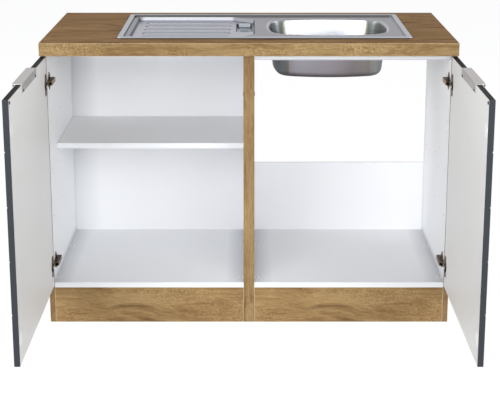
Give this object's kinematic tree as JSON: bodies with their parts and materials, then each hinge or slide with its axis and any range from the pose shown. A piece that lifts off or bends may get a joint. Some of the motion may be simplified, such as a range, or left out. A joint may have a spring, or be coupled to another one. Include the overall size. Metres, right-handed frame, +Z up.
{
  "type": "kitchen sink unit",
  "caption": "Kitchen sink unit with two open base cabinets, an oak-look worktop, an inset steel sink with drainer, and doors that swing on concealed hinges.",
  "frame": {"origin": "on the floor, in the middle of the carcass footprint", "axes": "+X to the right seen from the front, +Y towards the back, +Z up out of the floor"},
  "size_m": [1.218, 1.1735, 0.8625],
  "materials": {
    "carcass_white": "satin white melamine on particle board",
    "oak_decor": "satin oak decor",
    "worktop_oak": "satin oak laminate",
    "hardboard": "white painted hardboard",
    "sink_steel": "fine brushed stainless steel",
    "handle_steel": "brushed steel",
    "door_lacquer": "light warm grey inner face, anthracite edges and front",
    "zinc_steel": "zinc and nickel plated steel",
    "white_plastic": "matt white plastic",
    "soft_seal": "soft dark plastic"
  },
  "bodies": {
    "cabinet": {"side_left_outer": "carcass_white", "side_left_inner": "carcass_white", "side_right_inner": "carcass_white", "side_right_outer": "carcass_white", "floor_panel_left": "carcass_white", "floor_panel_right": "carcass_white", "top_rail_left": "carcass_white", "top_rail_right": "carcass_white", "rear_rail_left": "carcass_white", "rear_rail_right": "carcass_white", "shelf": "carcass_white", "edge_band_left_outer": "oak_decor", "edge_band_left_inner": "oak_decor", "edge_band_right_inner": "oak_decor", "edge_band_right_outer": "oak_decor", "plinth_left": "oak_decor", "plinth_right": "oak_decor", "worktop": "worktop_oak", "back_board_left": "hardboard", "half_back_board_right": "hardboard", "sink_deck": "sink_steel", "sink_bowl": "sink_steel", "sink_clips": "zinc_steel", "worktop_brackets": "zinc_steel", "connector_studs": "zinc_steel", "joining_bolts": "zinc_steel", "back_nails": "zinc_steel", "worktop_screws": "zinc_steel", "shelf_pins": "zinc_steel", "hinge_plates_left": "zinc_steel", "hinge_plates_right": "zinc_steel", "hinge_arms_left": "zinc_steel", "hinge_arms_right": "zinc_steel", "plate_screws_left": "zinc_steel", "plate_screws_right": "zinc_steel", "connector_housings": "white_plastic", "sink_seal": "soft_seal"},
    "door_left": {"door_left": "door_lacquer", "handle_left": "handle_steel", "handle_screws_left": "zinc_steel", "bore_caps_left": "white_plastic", "bumper_left": "soft_seal", "hinge_cups_left": "zinc_steel", "hinge_links_left": "zinc_steel", "cup_screws_left": "zinc_steel"},
    "door_right": {"door_right": "door_lacquer", "handle_right": "handle_steel", "handle_screws_right": "zinc_steel", "bore_caps_right": "white_plastic", "bumper_right": "soft_seal", "hinge_cups_right": "zinc_steel", "hinge_links_right": "zinc_steel", "cup_screws_right": "zinc_steel"}
  },
  "joints": [
    {"name": "door_left_hinge", "type": "hinge", "parent": "cabinet", "child": "door_left", "pos_m": [-0.593, -0.272, 0.461], "axis": [0, 0, 1], "range_deg": [-15, 90]},
    {"name": "door_right_hinge", "type": "hinge", "parent": "cabinet", "child": "door_right", "pos_m": [0.593, -0.272, 0.461], "axis": [0, 0, -1], "range_deg": [-15, 90]}
  ]
}
